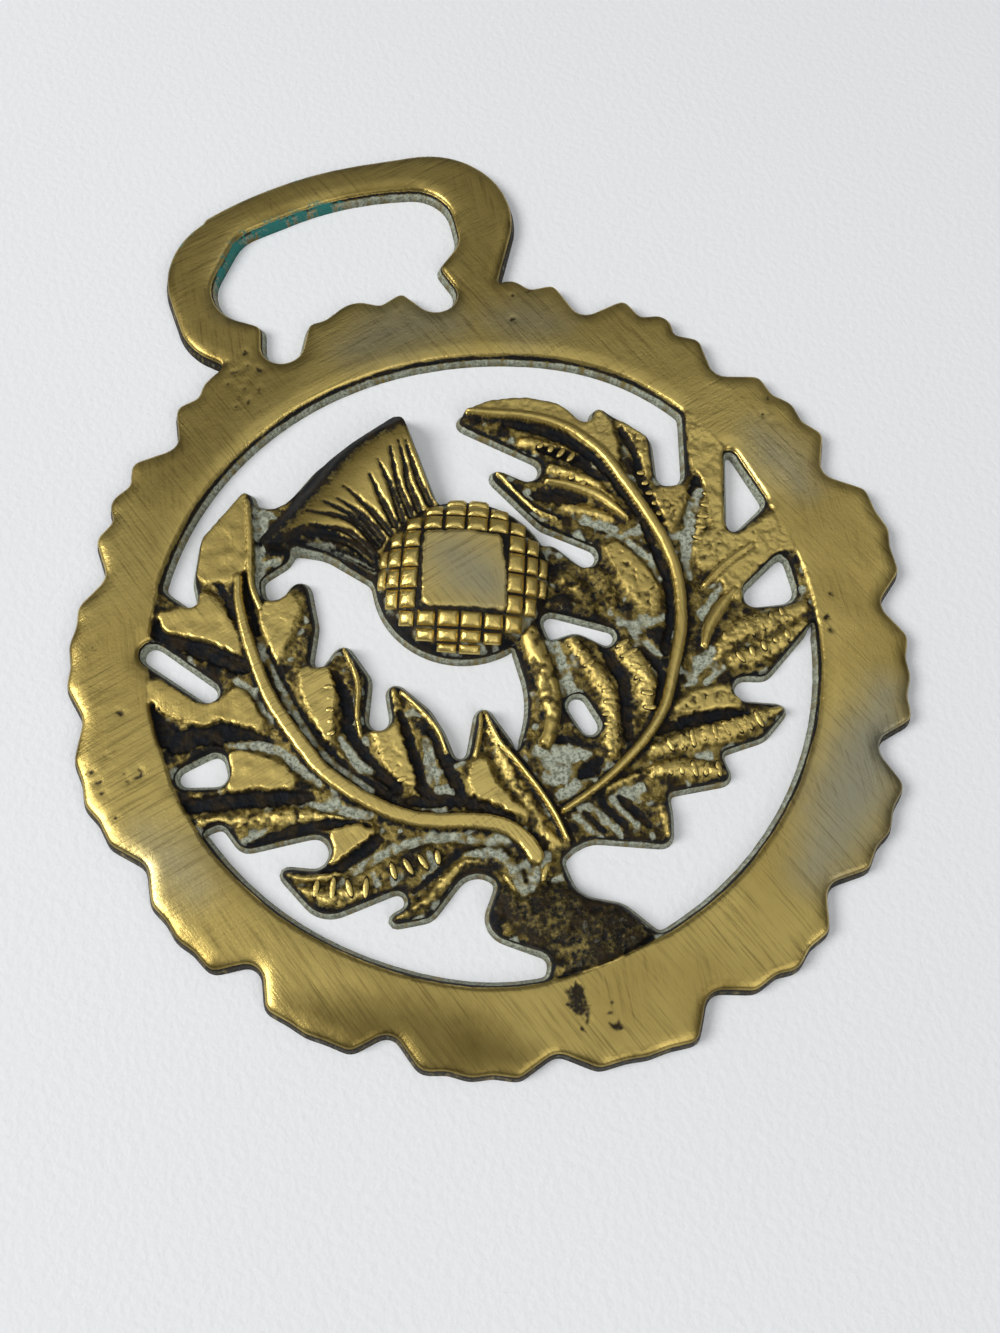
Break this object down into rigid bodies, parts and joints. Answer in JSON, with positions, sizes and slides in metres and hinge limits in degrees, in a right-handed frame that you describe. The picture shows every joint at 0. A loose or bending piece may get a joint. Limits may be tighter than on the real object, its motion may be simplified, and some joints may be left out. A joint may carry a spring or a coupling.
{
  "type": "horse brass",
  "caption": "Flat cast brass harness ornament with a scalloped rim, a strap hanger above it and a pierced thistle with leaves inside.",
  "frame": {"origin": "under the middle of the bounding box, on the plane of the flat back the brass lies on", "axes": "+Z out of the carved face, +Y along the length towards the strap hanger, +X to the right with the face towards the viewer and the hanger up"},
  "size_m": [0.0842, 0.1036, 0.0035],
  "materials": {
    "aged_brass": "aged, worn bright on the high parts, dark in the recesses"
  },
  "bodies": {
    "root": {"horse_brass": "aged_brass"}
  },
  "joints": []
}
